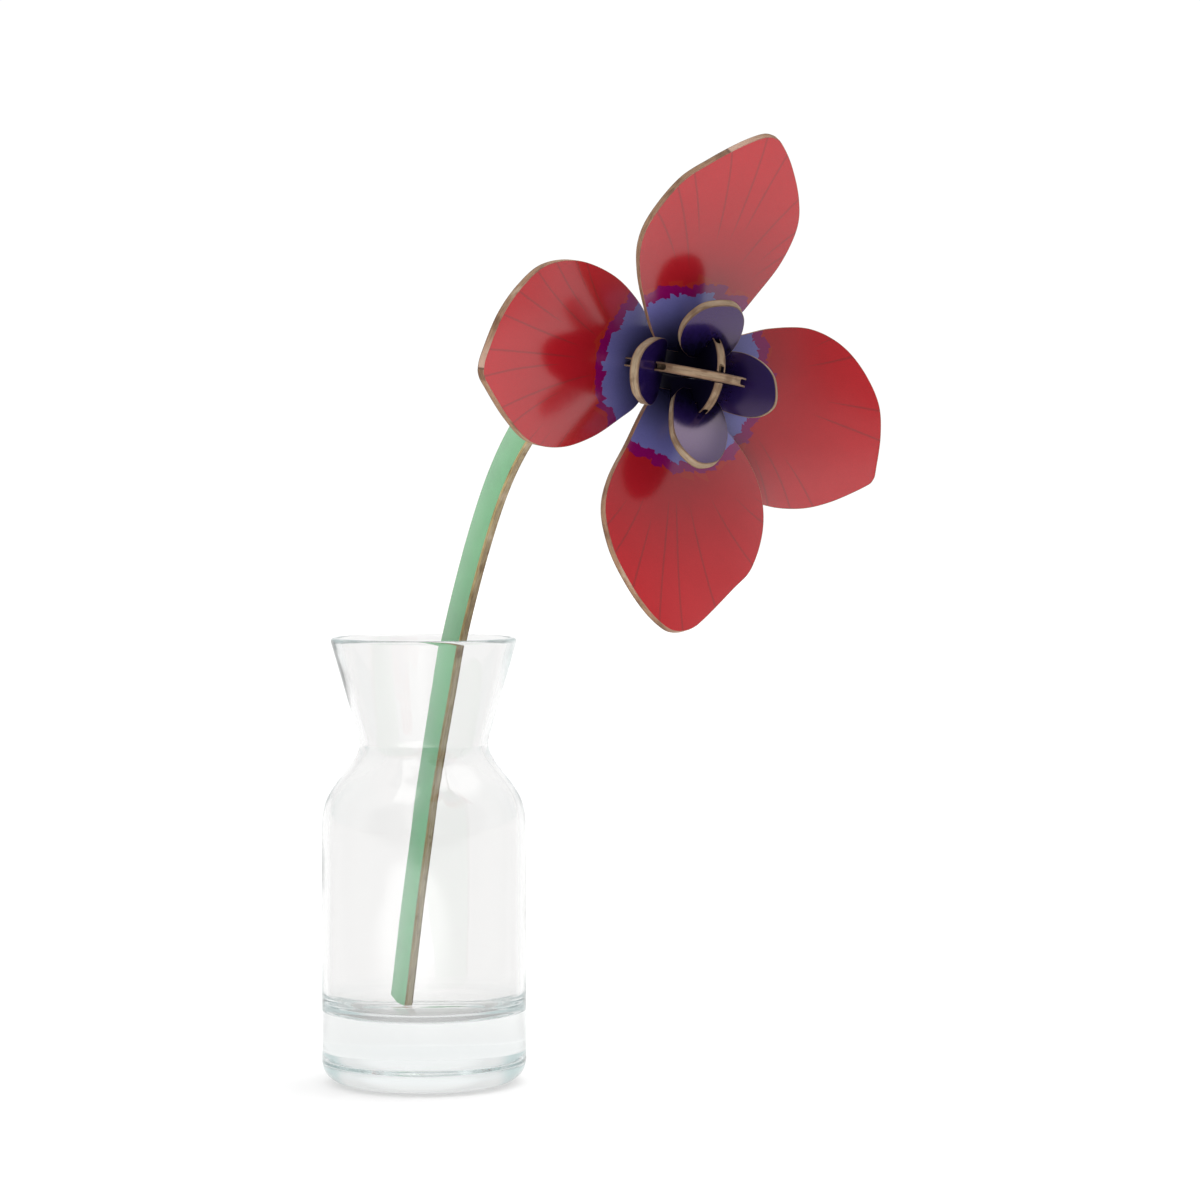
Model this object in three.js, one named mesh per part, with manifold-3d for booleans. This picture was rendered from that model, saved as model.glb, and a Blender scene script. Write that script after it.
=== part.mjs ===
// A slot-together anemone flower of printed board, standing in a clear glass carafe.
// Millimetres, +Z up. The origin is the centre of the carafe's underside.
// The viewer looks along +Y, with +X to the right.

import * as THREE from 'three';
import { mergeVertices } from 'three/addons/utils/BufferGeometryUtils.js';
import Module from 'manifold-3d';

const wasm = await Module();
wasm.setup();

// ---- Driving dimensions -------------------------------------------------------------

const BOARD = 3.0;              // thickness of every board piece
const FIT = 0.3;                // clearance between pieces that touch
const SLOT_HALF_WIDTH = BOARD / 2 + FIT;

// Carafe
const VASE_HEIGHT = 155.5;
const BODY_RADIUS = 35.8;
const FOOT_RADIUS = 28.0;       // flat ring and disc that it stands on
const FOOT_CORNER = 7.8;
const RIM_RADIUS = 32.5;
const WALL = 2.6;
const FLOOR_HEIGHT = 24.0;      // inside floor, above a thick solid base
const FLOOR_RADIUS = 22.0;
const VASE_SIDES = 56;

// Outside of the carafe from its straight body over the shoulder to the foot of the
// funnel, [radius, height]. A smooth curve runs through the points.
const SHOULDER_OUTLINE = [
  [35.8, 85], [35.5, 92.5], [34.2, 98.5], [31.2, 103.8], [27.2, 109], [24.4, 113],
  [22.8, 116.6], [22.7, 119.6], [23.8, 124],
];
const SHOULDER_STEPS = 16;

// Head of the flower: where its petals' lines meet, and how it is turned
const HEAD_CENTRE = new THREE.Vector3(86.1, -94.7, 245.7);
const HEAD_TURN = 28.2;         // degrees to the viewer's right
const HEAD_NOD = 5.5;           // degrees down from level
const HEAD_ROLL = -8.9;         // degrees, its top leaning to the right

// Ribs: two crossed boards in the middle of the head
const RIB_CREST = 28.8;         // how far the ribs stand out along the head's axis
const STEM_RIB_HALF = 14.0;
const CROSS_RIB_HALF = 16.6;
const RIB_BACK = -22.0;
const RIB_NECK = 17.0;          // length over which a rib narrows towards its back
const RIB_NECK_BEND = 11.0;
const RIB_LAP = 7.0;            // where the two ribs' half-lap slots meet

// Stem
const STEM_WIDTH = 13.8;
const STEM_FOOT_WIDTH = 12.2;

// Petals: [tilt from the head's axis in degrees, height of its face on the axis,
// end of the slot in its base]
const PETAL_TURNS = { top: 0, left: 90, bottom: 180, right: -90 };
const OUTER = {
  top: { tilt: 68, height: 0, slotEnd: 11.5 },
  bottom: { tilt: 73, height: 0, slotEnd: 11.5 },
  left: { tilt: 76, height: -9, slotEnd: 11.5 },
  right: { tilt: 70, height: -9, slotEnd: 11.5 },
};
const INNER = {
  top: { tilt: 49, height: 11, slotEnd: 12.5 },
  bottom: { tilt: 49, height: 11, slotEnd: 12.5 },
  left: { tilt: 48, height: 0, slotEnd: 16.0 },
  right: { tilt: 46, height: 0, slotEnd: 16.0 },
};

// Petal outlines, [across, outward] from the petal's root. A smooth curve runs through the
// points, and a straight edge closes the root.
const OUTER_OUTLINES = {
  top: [
    [-6, 6.5], [-12, 10], [-19.2, 19.4], [-25.3, 29.2], [-29, 39], [-28.6, 49], [-23.4, 62.4],
    [-15.7, 71], [-7.5, 78.4], [-1.2, 82.6], [2.5, 83.2], [5.6, 81.9], [11.9, 75.8],
    [18.9, 65.9], [22.6, 56], [21.9, 43.4], [17.8, 30.9], [13, 19], [6, 6.5],
  ],
  bottom: [
    [-6, 6.5], [-12, 10.5], [-20.4, 16.8], [-28.9, 25.7], [-34, 36], [-34.9, 48], [-31, 60.9],
    [-24.1, 68.9], [-13.7, 80], [-8.8, 84], [-3.6, 85.5], [1, 84.4], [7.6, 79.7],
    [14.7, 71.8], [20.9, 62], [24.4, 50], [22.6, 39], [16.4, 26], [10.8, 14], [6, 6.5],
  ],
  left: [
    [-6, 5], [-13, 8.2], [-18.2, 14.2], [-25.7, 24.6], [-30.8, 37], [-31, 50], [-25, 61.1],
    [-16.3, 71.6], [-13.4, 74.4], [-10.5, 75.3], [-5.7, 74.8], [6.5, 71.4], [16.6, 65.5],
    [24.8, 57], [28.3, 44], [26.4, 29], [20.8, 17.2], [13, 8.2], [6, 5],
  ],
  right: [
    [-6, 5], [-11, 12.5], [-15.8, 24], [-19.7, 33.4], [-21.8, 45.3], [-18.9, 56.3],
    [-12.2, 65.3], [-2.4, 72.7], [7.8, 75.5], [18.9, 76.1], [23, 75.8], [26, 73.1],
    [33, 62.5], [36.9, 52.3], [37.4, 40], [32.5, 26], [22.5, 14], [13, 7.4], [6, 5],
  ],
};
const INNER_OUTLINES = {
  top: [
    [-5, 6.5], [-9.5, 9.5], [-12.3, 15], [-12.5, 21.2], [-9.6, 26.9], [-3.4, 29.7],
    [1.2, 29.4], [5.5, 25.5], [8.1, 18], [8, 11], [5, 6.5],
  ],
  bottom: [
    [-5, 6.5], [-8.2, 12], [-8.6, 20], [-6.8, 27], [-3, 33.4], [1.6, 36.1], [6.1, 36.2],
    [10.4, 32], [12.2, 26], [11.2, 18], [8.6, 10], [5, 6.5],
  ],
  left: [
    [-4, 12.4], [-9.6, 13.8], [-12.6, 19], [-10.6, 28], [-8.4, 32.2], [-4.4, 35.7],
    [0.4, 36.6], [4.4, 33.4], [7.6, 26], [9.2, 18], [8, 13.4], [4, 12.4],
  ],
  right: [
    [-4, 12.4], [-8.4, 14], [-9.6, 20], [-8.2, 26.2], [-4.8, 31.2], [0, 33.6],
    [5.4, 34], [9, 31], [10.6, 26], [10, 18], [8, 13.8], [4, 12.4],
  ],
};
const OUTLINE_STEPS = 84;

// Centre line of the stem in the plane of its own rib, [along the head's axis, up, width].
// The stem narrows a little below the carafe's neck.
const STEM_LINE = [
  [-20, 0, STEM_WIDTH], [-40, 0, STEM_WIDTH], [-62, -3.6, STEM_WIDTH], [-82, -13.4, STEM_WIDTH],
  [-98, -28.4, STEM_WIDTH], [-109.2, -46.7, STEM_WIDTH], [-116.4, -71, STEM_WIDTH],
  [-120.8, -99.9, STEM_WIDTH], [-121.5, -123.3, STEM_WIDTH], [-121, -146, 13],
  [-119.2, -168, 12.4], [-116, -197.9, STEM_FOOT_WIDTH], [-111.8, -227.6, STEM_FOOT_WIDTH],
];
const STEM_STEPS = 56;
const STEM_FOOT_CUT = 14;       // degrees, slant of the cut at the stem's foot
const STEM_FOOT_SPARE = 20;     // length past the last point, trimmed off above the floor
const STEM_FOOT_TIP = new THREE.Vector2(-5.7, -0.6);
const REACH = 80;               // longer than anything that a cutting box goes through

// ---- Colours ------------------------------------------------------------------------

function finish(color, roughness, extra = {}) {
  return new THREE.MeshStandardMaterial({ color, roughness, metalness: 0, ...extra });
}

const GLASS = finish(0xe6eeee, 0.03, { transparent: true, opacity: 0.35 });
const PETAL_RED = finish(0xb8303a, 0.42);
const CENTRE_INDIGO = finish(0x1b1240, 0.42);
const STEM_GREEN = finish(0x84b896, 0.5);

// ---- Solids -------------------------------------------------------------------------

function toSolid(geometry) {
  const bare = geometry.clone();
  bare.deleteAttribute('normal');
  bare.deleteAttribute('uv');
  const merged = mergeVertices(bare, 1e-4);
  return new wasm.Manifold(new wasm.Mesh({
    numProp: 3,
    vertProperties: Float32Array.from(merged.attributes.position.array),
    triVerts: Uint32Array.from(merged.index.array),
  }));
}

function toGeometry(solid) {
  const mesh = solid.getMesh();
  const geometry = new THREE.BufferGeometry();
  geometry.setAttribute('position', new THREE.BufferAttribute(mesh.vertProperties, 3));
  geometry.setIndex(new THREE.BufferAttribute(mesh.triVerts, 1));
  geometry.computeVertexNormals();
  return geometry;
}

function cut(geometry, tools) {
  let solid = toSolid(geometry);
  for (const tool of tools) {
    solid = solid.subtract(toSolid(tool));
  }
  return toGeometry(solid);
}

function box(low, high) {
  const size = high.map((value, i) => value - low[i]);
  const centre = high.map((value, i) => (value + low[i]) / 2);
  return new THREE.BoxGeometry(...size).translate(...centre);
}

function boardPlate(shape) {
  return new THREE.ExtrudeGeometry(shape, { depth: BOARD, bevelEnabled: false });
}

function smoothShape(points, steps) {
  const curve = new THREE.SplineCurve(points.map(([x, y]) => new THREE.Vector2(x, y)));
  return new THREE.Shape(curve.getSpacedPoints(steps));
}

// ---- Carafe -------------------------------------------------------------------------

function arc(centreX, centreY, radius, fromDegrees, toDegrees, steps) {
  const points = [];
  for (let i = 0; i <= steps; i += 1) {
    const angle = THREE.MathUtils.degToRad(fromDegrees + (toDegrees - fromDegrees) * (i / steps));
    const offset = new THREE.Vector2(Math.cos(angle), Math.sin(angle)).multiplyScalar(radius);
    points.push(offset.add(new THREE.Vector2(centreX, centreY)));
  }
  return points;
}

// Shoulder and neck, moved inward by `inset`.
function shoulderCurve(inset) {
  const points = SHOULDER_OUTLINE.map(([radius, height]) => new THREE.Vector2(radius - inset, height));
  return new THREE.SplineCurve(points).getPoints(SHOULDER_STEPS);
}

function vaseGeometry() {
  const innerRadius = BODY_RADIUS - WALL;
  const floorCorner = innerRadius - FLOOR_RADIUS;
  const lip = WALL / 2;
  const lipCentre = new THREE.Vector2(RIM_RADIUS - lip, VASE_HEIGHT - lip);
  const profile = [
    new THREE.Vector2(0, 0),
    new THREE.Vector2(FOOT_RADIUS, 0),
    ...arc(BODY_RADIUS - FOOT_CORNER, FOOT_CORNER, FOOT_CORNER, -82, 0, 6),
    ...shoulderCurve(0),
    ...arc(lipCentre.x, lipCentre.y, lip, -15, 165, 7),
    ...shoulderCurve(WALL).reverse(),
    ...arc(FLOOR_RADIUS, FLOOR_HEIGHT + floorCorner, floorCorner, 0, -90, 7),
    new THREE.Vector2(0, FLOOR_HEIGHT),
  ];
  const lathe = new THREE.LatheGeometry(profile, VASE_SIDES);
  return lathe.rotateX(Math.PI / 2);
}

// ---- Petals -------------------------------------------------------------------------

// From a petal's flat pattern, with its face at z = 0 and its root towards -y, to the head.
function petalPlace(side, layout) {
  const turn = new THREE.Matrix4().makeRotationZ(THREE.MathUtils.degToRad(PETAL_TURNS[side]));
  const lift = new THREE.Matrix4().makeTranslation(0, 0, layout.height);
  const tilt = new THREE.Matrix4().makeRotationX(THREE.MathUtils.degToRad(90 - layout.tilt));
  return lift.multiply(turn).multiply(tilt);
}

function petalGeometry(outline, slotEnd) {
  const plate = boardPlate(smoothShape(outline, OUTLINE_STEPS)).translate(0, 0, -BOARD);
  const slot = box([-SLOT_HALF_WIDTH, 0, -BOARD - 1], [SLOT_HALF_WIDTH, slotEnd, 1]);
  return cut(plate, [slot]);
}

// The slot that a petal needs in its rib, from where its own slot ends outward.
function ribSlot(side, layout) {
  const slot = box([-BOARD, layout.slotEnd - FIT, -BOARD - FIT], [BOARD, layout.slotEnd + REACH, FIT]);
  return slot.applyMatrix4(petalPlace(side, layout));
}

// ---- Ribs and stem ------------------------------------------------------------------

// A plate with a round crest and a tapered back, in (along the axis, sideways).
function ribShape(half) {
  const shape = new THREE.Shape();
  const shoulder = RIB_CREST - half;
  const backHalf = STEM_WIDTH / 2;
  const bend = RIB_BACK + RIB_NECK_BEND;
  const full = RIB_BACK + RIB_NECK;
  shape.moveTo(RIB_BACK, -backHalf);
  shape.quadraticCurveTo(bend, -half, full, -half);
  shape.lineTo(shoulder, -half);
  shape.absarc(shoulder, 0, half, -Math.PI / 2, Math.PI / 2, false);
  shape.lineTo(full, half);
  shape.quadraticCurveTo(bend, half, RIB_BACK, backHalf);
  return shape;
}

// Turns a plate drawn in (along the axis, sideways) into the head's own frame: the axis is
// z, sideways is y, and the plate's thickness lies along x.
function standInRibPlane(geometry) {
  return geometry.translate(0, 0, -BOARD / 2).rotateY(-Math.PI / 2);
}

// The stem's strip. Each curve point holds its place in x and y, and the width there in z.
function stemRibbonShape() {
  const curve = new THREE.CatmullRomCurve3(STEM_LINE.map((values) => new THREE.Vector3(...values)));
  const points = curve.getSpacedPoints(STEM_STEPS);
  const last = points[points.length - 1];
  const previous = points[points.length - 2];
  const tail = last.clone().sub(previous).setLength(STEM_FOOT_SPARE).setZ(0);
  points.push(last.clone().add(tail));
  const front = [];
  const back = [];
  points.forEach((point, i) => {
    const before = points[Math.max(i - 1, 0)];
    const after = points[Math.min(i + 1, points.length - 1)];
    const along = new THREE.Vector2(after.x - before.x, after.y - before.y).normalize();
    const across = new THREE.Vector2(-along.y, along.x).multiplyScalar(point.z / 2);
    front.push(new THREE.Vector2(point.x, point.y).add(across));
    back.push(new THREE.Vector2(point.x, point.y).sub(across));
  });
  return new THREE.Shape([...front, ...back.reverse()]);
}

function stemGeometry(placeInWorld) {
  const rib = standInRibPlane(boardPlate(ribShape(STEM_RIB_HALF)));
  const ribbon = standInRibPlane(boardPlate(stemRibbonShape()));
  const whole = toSolid(rib).add(toSolid(ribbon));
  const lap = box([-BOARD, -SLOT_HALF_WIDTH, RIB_LAP], [BOARD, SLOT_HALF_WIDTH, REACH]);
  const slots = [lap];
  for (const side of ['top', 'bottom']) {
    slots.push(ribSlot(side, OUTER[side]));
    slots.push(ribSlot(side, INNER[side]));
  }
  slots.push(footTrim(placeInWorld));
  return cut(toGeometry(whole), slots);
}

// Everything below the slanted cut at the foot, whose front tip stands just above the floor.
function footTrim(placeInWorld) {
  const slab = box([-REACH, -REACH, -REACH], [REACH, REACH, 0]);
  slab.rotateX(THREE.MathUtils.degToRad(STEM_FOOT_CUT));
  slab.rotateZ(THREE.MathUtils.degToRad(HEAD_TURN));
  slab.translate(STEM_FOOT_TIP.x, STEM_FOOT_TIP.y, FLOOR_HEIGHT + FIT);
  return slab.applyMatrix4(placeInWorld.clone().invert());
}

function crossRibGeometry() {
  const plate = standInRibPlane(boardPlate(ribShape(CROSS_RIB_HALF))).rotateZ(Math.PI / 2);
  const lap = box([-SLOT_HALF_WIDTH, -BOARD, -REACH], [SLOT_HALF_WIDTH, BOARD, RIB_LAP + FIT]);
  const slots = [lap];
  for (const side of ['left', 'right']) {
    slots.push(ribSlot(side, OUTER[side]));
    slots.push(ribSlot(side, INNER[side]));
  }
  return cut(plate, slots);
}

// ---- Assembly -----------------------------------------------------------------------

function named(name, geometry, material) {
  const mesh = new THREE.Mesh(geometry, material);
  mesh.name = name;
  return mesh;
}

function petal(name, side, outline, layout, material) {
  const mesh = named(name, petalGeometry(outline, layout.slotEnd), material);
  mesh.applyMatrix4(petalPlace(side, layout));
  return mesh;
}

function flowerHead() {
  const roll = new THREE.Group();
  roll.rotation.z = THREE.MathUtils.degToRad(HEAD_ROLL);
  const nod = new THREE.Group();
  nod.rotation.x = THREE.MathUtils.degToRad(90 + HEAD_NOD);
  nod.add(roll);
  const turn = new THREE.Group();
  turn.rotation.z = THREE.MathUtils.degToRad(HEAD_TURN);
  turn.position.copy(HEAD_CENTRE);
  turn.add(nod);
  turn.updateMatrixWorld(true);

  roll.add(named('stem', stemGeometry(roll.matrixWorld), STEM_GREEN));
  roll.add(named('cross_rib', crossRibGeometry(), CENTRE_INDIGO));
  for (const side of Object.keys(PETAL_TURNS)) {
    roll.add(petal(`petal_${side}`, side, OUTER_OUTLINES[side], OUTER[side], PETAL_RED));
    roll.add(petal(`inner_petal_${side}`, side, INNER_OUTLINES[side], INNER[side], CENTRE_INDIGO));
  }
  return turn;
}

const anemone = new THREE.Group();
anemone.add(named('vase', vaseGeometry(), GLASS));
anemone.add(flowerHead());

export default anemone;
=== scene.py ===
"""A slot-together anemone of printed board, standing in a clear glass carafe.

Lengths in the tables are millimetres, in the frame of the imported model: +Z up, the origin at the
centre of the carafe's underside, and the viewer looking along +Y.
"""

import math

import bpy
from mathutils import Matrix, Vector


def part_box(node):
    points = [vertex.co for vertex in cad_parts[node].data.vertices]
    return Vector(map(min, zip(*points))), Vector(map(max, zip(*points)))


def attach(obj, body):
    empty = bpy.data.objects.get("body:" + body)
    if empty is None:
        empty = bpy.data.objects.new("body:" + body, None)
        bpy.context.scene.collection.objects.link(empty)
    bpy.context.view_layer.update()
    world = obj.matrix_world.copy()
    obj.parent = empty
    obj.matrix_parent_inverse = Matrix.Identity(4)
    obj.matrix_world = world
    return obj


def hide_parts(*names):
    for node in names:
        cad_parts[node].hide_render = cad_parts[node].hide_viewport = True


bl_info = {
    "name": "Slotted anemone in a carafe",
    "version": (1, 0, 0),
    "blender": (4, 5, 0),
    "location": "View3D > Sidebar > Anemone",
    "description": "Models a flower of slotted printed board and the glass carafe that it stands in",
    "category": "Object",
}

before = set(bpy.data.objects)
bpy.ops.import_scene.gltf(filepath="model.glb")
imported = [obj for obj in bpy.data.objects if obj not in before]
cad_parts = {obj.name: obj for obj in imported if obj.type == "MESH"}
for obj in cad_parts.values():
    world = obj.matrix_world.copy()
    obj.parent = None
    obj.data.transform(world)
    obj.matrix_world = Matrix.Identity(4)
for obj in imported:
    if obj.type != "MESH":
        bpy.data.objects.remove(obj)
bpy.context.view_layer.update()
CARAFE_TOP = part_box("vase")[1].z

MM = 0.001

OUTLINE_STEPS = 10  # pieces of an outline's curve between two of its points
MERGE_WITHIN = 0.002  # distance at which two corners become one
FLAT = 0.98  # a board's polygons that face this much along its thickness are printed
BOARD_SMOOTHING = 35  # degrees, below which neighbouring polygons are shaded as one
GLASS_SMOOTHING = 50

# ---- The flower's head: where it is and how it is turned ------------------------------------

HEAD_CENTRE = (86.1, -94.7, 245.7)
HEAD_TURN = 28.2  # this, the nod and the roll are degrees
HEAD_NOD = 5.5
HEAD_ROLL = -8.9

SLOT_CLEARANCE = 0.3
REACH = 80.0  # longer than anything that a cutting box goes through

PETAL_TURNS = {"top": 0, "left": 90, "bottom": 180, "right": -90}

# tilt from the head's axis in degrees, height of the printed face on the axis, end of the slot,
# and the radius at which the violet root ends
OUTER = {
    "top": {"tilt": 68, "height": 0, "slot_end": 11.5, "ring": 27.6},
    "bottom": {"tilt": 73, "height": 0, "slot_end": 11.5, "ring": 29.6},
    "left": {"tilt": 76, "height": -9, "slot_end": 11.5, "ring": 25.4},
    "right": {"tilt": 70, "height": -9, "slot_end": 11.5, "ring": 32.6},
}
INNER = {
    "top": {"tilt": 49, "height": 11, "slot_end": 12.5},
    "bottom": {"tilt": 49, "height": 11, "slot_end": 12.5},
    "left": {"tilt": 48, "height": 0, "slot_end": 16.0},
    "right": {"tilt": 46, "height": 0, "slot_end": 16.0},
}

# Outlines, [across, outward] from the petal's root
OUTER_OUTLINES = {
    "top": [
        (-6, 6.5), (-12, 10), (-19.2, 19.4), (-25.3, 29.2), (-29, 39), (-28.6, 49), (-23.4, 62.4),
        (-15.7, 71), (-7.5, 78.4), (-1.2, 82.6), (2.5, 83.2), (5.6, 81.9), (11.9, 75.8),
        (18.9, 65.9), (22.6, 56), (21.9, 43.4), (17.8, 30.9), (13, 19), (6, 6.5),
    ],
    "bottom": [
        (-6, 6.5), (-12, 10.5), (-20.4, 16.8), (-28.9, 25.7), (-34, 36), (-34.9, 48),
        (-31, 60.9), (-24.1, 68.9), (-13.7, 80), (-8.8, 84), (-3.6, 85.5), (1, 84.4),
        (7.6, 79.7), (14.7, 71.8), (20.9, 62), (24.4, 50), (22.6, 39), (16.4, 26), (10.8, 14),
        (6, 6.5),
    ],
    "left": [
        (-6, 5), (-13, 8.2), (-18.2, 14.2), (-25.7, 24.6), (-30.8, 37), (-31, 50), (-25, 61.1),
        (-16.3, 71.6), (-13.4, 74.4), (-10.5, 75.3), (-5.7, 74.8), (6.5, 71.4), (16.6, 65.5),
        (24.8, 57), (28.3, 44), (26.4, 29), (20.8, 17.2), (13, 8.2), (6, 5),
    ],
    "right": [
        (-6, 5), (-11, 12.5), (-15.8, 24), (-19.7, 33.4), (-21.8, 45.3), (-18.9, 56.3),
        (-12.2, 65.3), (-2.4, 72.7), (7.8, 75.5), (18.9, 76.1), (23, 75.8), (26, 73.1),
        (33, 62.5), (36.9, 52.3), (37.4, 40), (32.5, 26), (22.5, 14), (13, 7.4), (6, 5),
    ],
}
INNER_OUTLINES = {
    "top": [
        (-5, 6.5), (-9.5, 9.5), (-12.3, 15), (-12.5, 21.2), (-9.6, 26.9), (-3.4, 29.7),
        (1.2, 29.4), (5.5, 25.5), (8.1, 18), (8, 11), (5, 6.5),
    ],
    "bottom": [
        (-5, 6.5), (-8.2, 12), (-8.6, 20), (-6.8, 27), (-3, 33.4), (1.6, 36.1), (6.1, 36.2),
        (10.4, 32), (12.2, 26), (11.2, 18), (8.6, 10), (5, 6.5),
    ],
    "left": [
        (-4, 12.4), (-9.6, 13.8), (-12.6, 19), (-10.6, 28), (-8.4, 32.2), (-4.4, 35.7),
        (0.4, 36.6), (4.4, 33.4), (7.6, 26), (9.2, 18), (8, 13.4), (4, 12.4),
    ],
    "right": [
        (-4, 12.4), (-8.4, 14), (-9.6, 20), (-8.2, 26.2), (-4.8, 31.2), (0, 33.6),
        (5.4, 34), (9, 31), (10.6, 26), (10, 18), (8, 13.8), (4, 12.4),
    ],
}

# ---- Ribs and stem --------------------------------------------------------------------------

RIB_CREST = 28.8
STEM_RIB_HALF = 14.0
CROSS_RIB_HALF = 16.6
RIB_BACK = -22.0
RIB_NECK = 17.0
RIB_NECK_BEND = 11.0
RIB_LAP = 7.0
RIB_NECK_STEPS = 8
RIB_CREST_STEPS = 64
FORK_DEPTH = 2.8  # how deep the board's core is cut back at the ends of a rib's crest
FORK_WIDTH = 1.9
FORK_OVERLAP = 1.2  # how far a fork runs into the slot beside it
FORK_ROUND = 0.35  # rounding of its corners, as a share of its width
STEM_FORK = 2.4
CROSS_FORK = 4.6
# side, angle from the head's axis in degrees, and both ends along the crest
LONG_FORKS = [("right", 56.5, -6.5, 6.5), ("left", 90, 12.4, 18.4)]

STEM_WIDTH = 13.8
STEM_FOOT_WIDTH = 12.2

# Centre line of the stem in the plane of its own rib, [along the head's axis, up, width]
STEM_LINE = [
    (-20, 0, STEM_WIDTH), (-40, 0, STEM_WIDTH), (-62, -3.6, STEM_WIDTH),
    (-82, -13.4, STEM_WIDTH), (-98, -28.4, STEM_WIDTH), (-109.2, -46.7, STEM_WIDTH),
    (-116.4, -71, STEM_WIDTH), (-120.8, -99.9, STEM_WIDTH), (-121.5, -123.3, STEM_WIDTH),
    (-121, -146, 13), (-119.2, -168, 12.4), (-116, -197.9, STEM_FOOT_WIDTH),
    (-111.8, -227.6, STEM_FOOT_WIDTH),
]
STEM_STEPS = 110
STEM_FOOT_CUT = 20  # degrees
STEM_FOOT_SPARE = 20  # length past the foot, which the cut takes off
STEM_FOOT_TIP = (-5.7, -0.6, 24.3)

# ---- Carafe ---------------------------------------------------------------------------------

BODY_RADIUS = 35.8
FOOT_CORNER = 7.8
FOOT_RADIUS = BODY_RADIUS - FOOT_CORNER
RIM_RADIUS = 32.5
WALL = 2.6
FLOOR_HEIGHT = 24.0
FLOOR_RADIUS = 25.0
# Radius and height: the domed underside from its middle, then the shoulder and the neck
PUNT = [(8, 1.5), (16, 1.2), (21, 0.7), (24.4, 0.15), (25.4, 0)]
SHOULDER_OUTLINE = [
    (35.8, 85), (35.5, 92.5), (34.2, 98.5), (31.2, 103.8), (27.2, 109), (24.4, 113),
    (22.8, 116.6), (22.7, 119.6), (23.8, 124),
]
FOOT_EASE = 0.6  # how far inside the heel the flat of the foot ends
HEEL_START = -84  # degrees, where the heel's arc begins
LIP_TURN = (-15, 165)  # degrees, both ends of the rim's arc
FLOOR_RINGS = (18, 12, 6)
CARAFE_SIDES = 144
SHOULDER_STEPS = 40
HEEL_STEPS = 14
LIP_STEPS = 16
CORNER_STEPS = 18

# ---- Camera and light -----------------------------------------------------------------------

CAMERA_PLACE = (61.6, -1291.9, 211.4)
CAMERA_DOWN = 1.9  # degrees
CAMERA_LENS = 111.0
CAMERA_SENSOR = 36.0
CAMERA_CLIP = (10.0, 50000.0)

TABLE_RADIUS = 9000.0
TABLE_SIDES = 96
TABLE_DROP = 0.4  # how far below the carafe's underside the table is drawn
WINDOW_PLACE = (-400.0, -750.0, 1400.0)
WINDOW_TARGET = (50.0, -50.0, 150.0)
WINDOW_SIZE = 600.0
WINDOW_POWER = 1.2  # watts
LIGHT_BOUNCES = 160  # light runs far round inside the thick glass

# directions in the studio that are darker or brighter than its walls
DIM_CORNER = (0.72, -0.62, 0.3)
BESIDE_CAMERA = (-0.48, -0.87, 0.1)
OVERHEAD = (0.35, 0.1, 0.93)
# darkest and brightest that the walls look through the glass, and where its tinge is whole
VEILED_DARK = 0.76
VEILED_BRIGHT = 0.85
VEILED_TINGED = 0.62
# middle of the lit patch on the table, radii between which it ends, and y between which the
# table is dimmer in mirrored light
PATCH_CENTRE = (-100.0, -560.0)
PATCH_EDGE = (240.0, 460.0)
FAR_IN_FRONT = (-1500.0, -700.0)


# ---- Prints and cut edges: lengths in millimetres, colours in linear light ------------------

PRINT_IOR = 1.66
MATT_IOR = 1.12
LACQUER_IOR = 1.62
ROSY_SHEEN = (1.0, 0.74, 0.92)
STEM_MATTER = 0.08  # how much rougher the stem's print is than the petals'

PETAL_TIP = 80.0
# how far outside the violet root the magenta fringe ends, and the darker red
FRINGE_WIDTH = 3.5
EMBER_WIDTH = 4.0
EMBER = (0.34, 0.026, 0.010)
# partly painted shade: the violet darkens to this at the flower's middle, partly in the print and
# partly as painted shade
VIOLET_ROOT_AND_SHADE = (0.006, 0.006, 0.022)
FIRST_SEED = 3.1
SEED_STEP = 17.3
# seed offset, reach and length of the teeth along each border, the coarse ones first
VIOLET_TEETH = [(0.0, 1.5, 3.1), (31.7, 0.7, 1.3)]
FRINGE_TEETH = [(11.3, 1.7, 3.7), (47.1, 0.7, 1.5)]
EMBER_TEETH = [(71.9, 3.4, 4.3)]

VEIN = (0.10, 0.022, 0.020)
VEIN_SEED = 0.37
VEIN_SPACING = 0.155  # radians between two veins at the petal's tip
VEIN_ROOT_SPACING = 0.20  # share of that spacing that is left in the middle of the flower
VEIN_WIDTH = 0.30
VEIN_LEAST_WIDTH = 0.06
VEIN_CROSSING = 52.0  # radius at which a bent vein crosses its own straight line
VEIN_STARTS = 24.0  # range of radius in which the veins start
VEIN_ENDS = 60.0  # range of radius in which they end
VEIN_SKIPPED = (0.14, 0.15)  # draws below this leave a lane without a vein

INDIGO_ROOT = (0.004, 0.003, 0.016)
DOT_BLACK = (0.0015, 0.001, 0.002)
DOT_DENSITY = 0.72
DOTS_BEGIN = (8.0, 12.0)
DOTS_END = (15.0, 21.0)

RIB_INDIGO = (0.004, 0.003, 0.012)
RIB_INDIGO_DARK = (0.002, 0.0015, 0.005)
DRIFTING_GREEN = (0.165, 0.46, 0.21)
# painted reflection of the glass over the stem: the paler green that the stem is painted inside the
# carafe
GREEN_PAINTED_REFLECTION = (0.385, 0.95, 0.50)
PAINTED_REFLECTION_DEEP = (40.0, 150.0)  # levels between which the painted reflection of the glass turns the stem paler downward
# levels at the carafe's mouth, below which the painted reflection begins
PAINTED_REFLECTION_AT_MOUTH = (149.0, 154.0)

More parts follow.
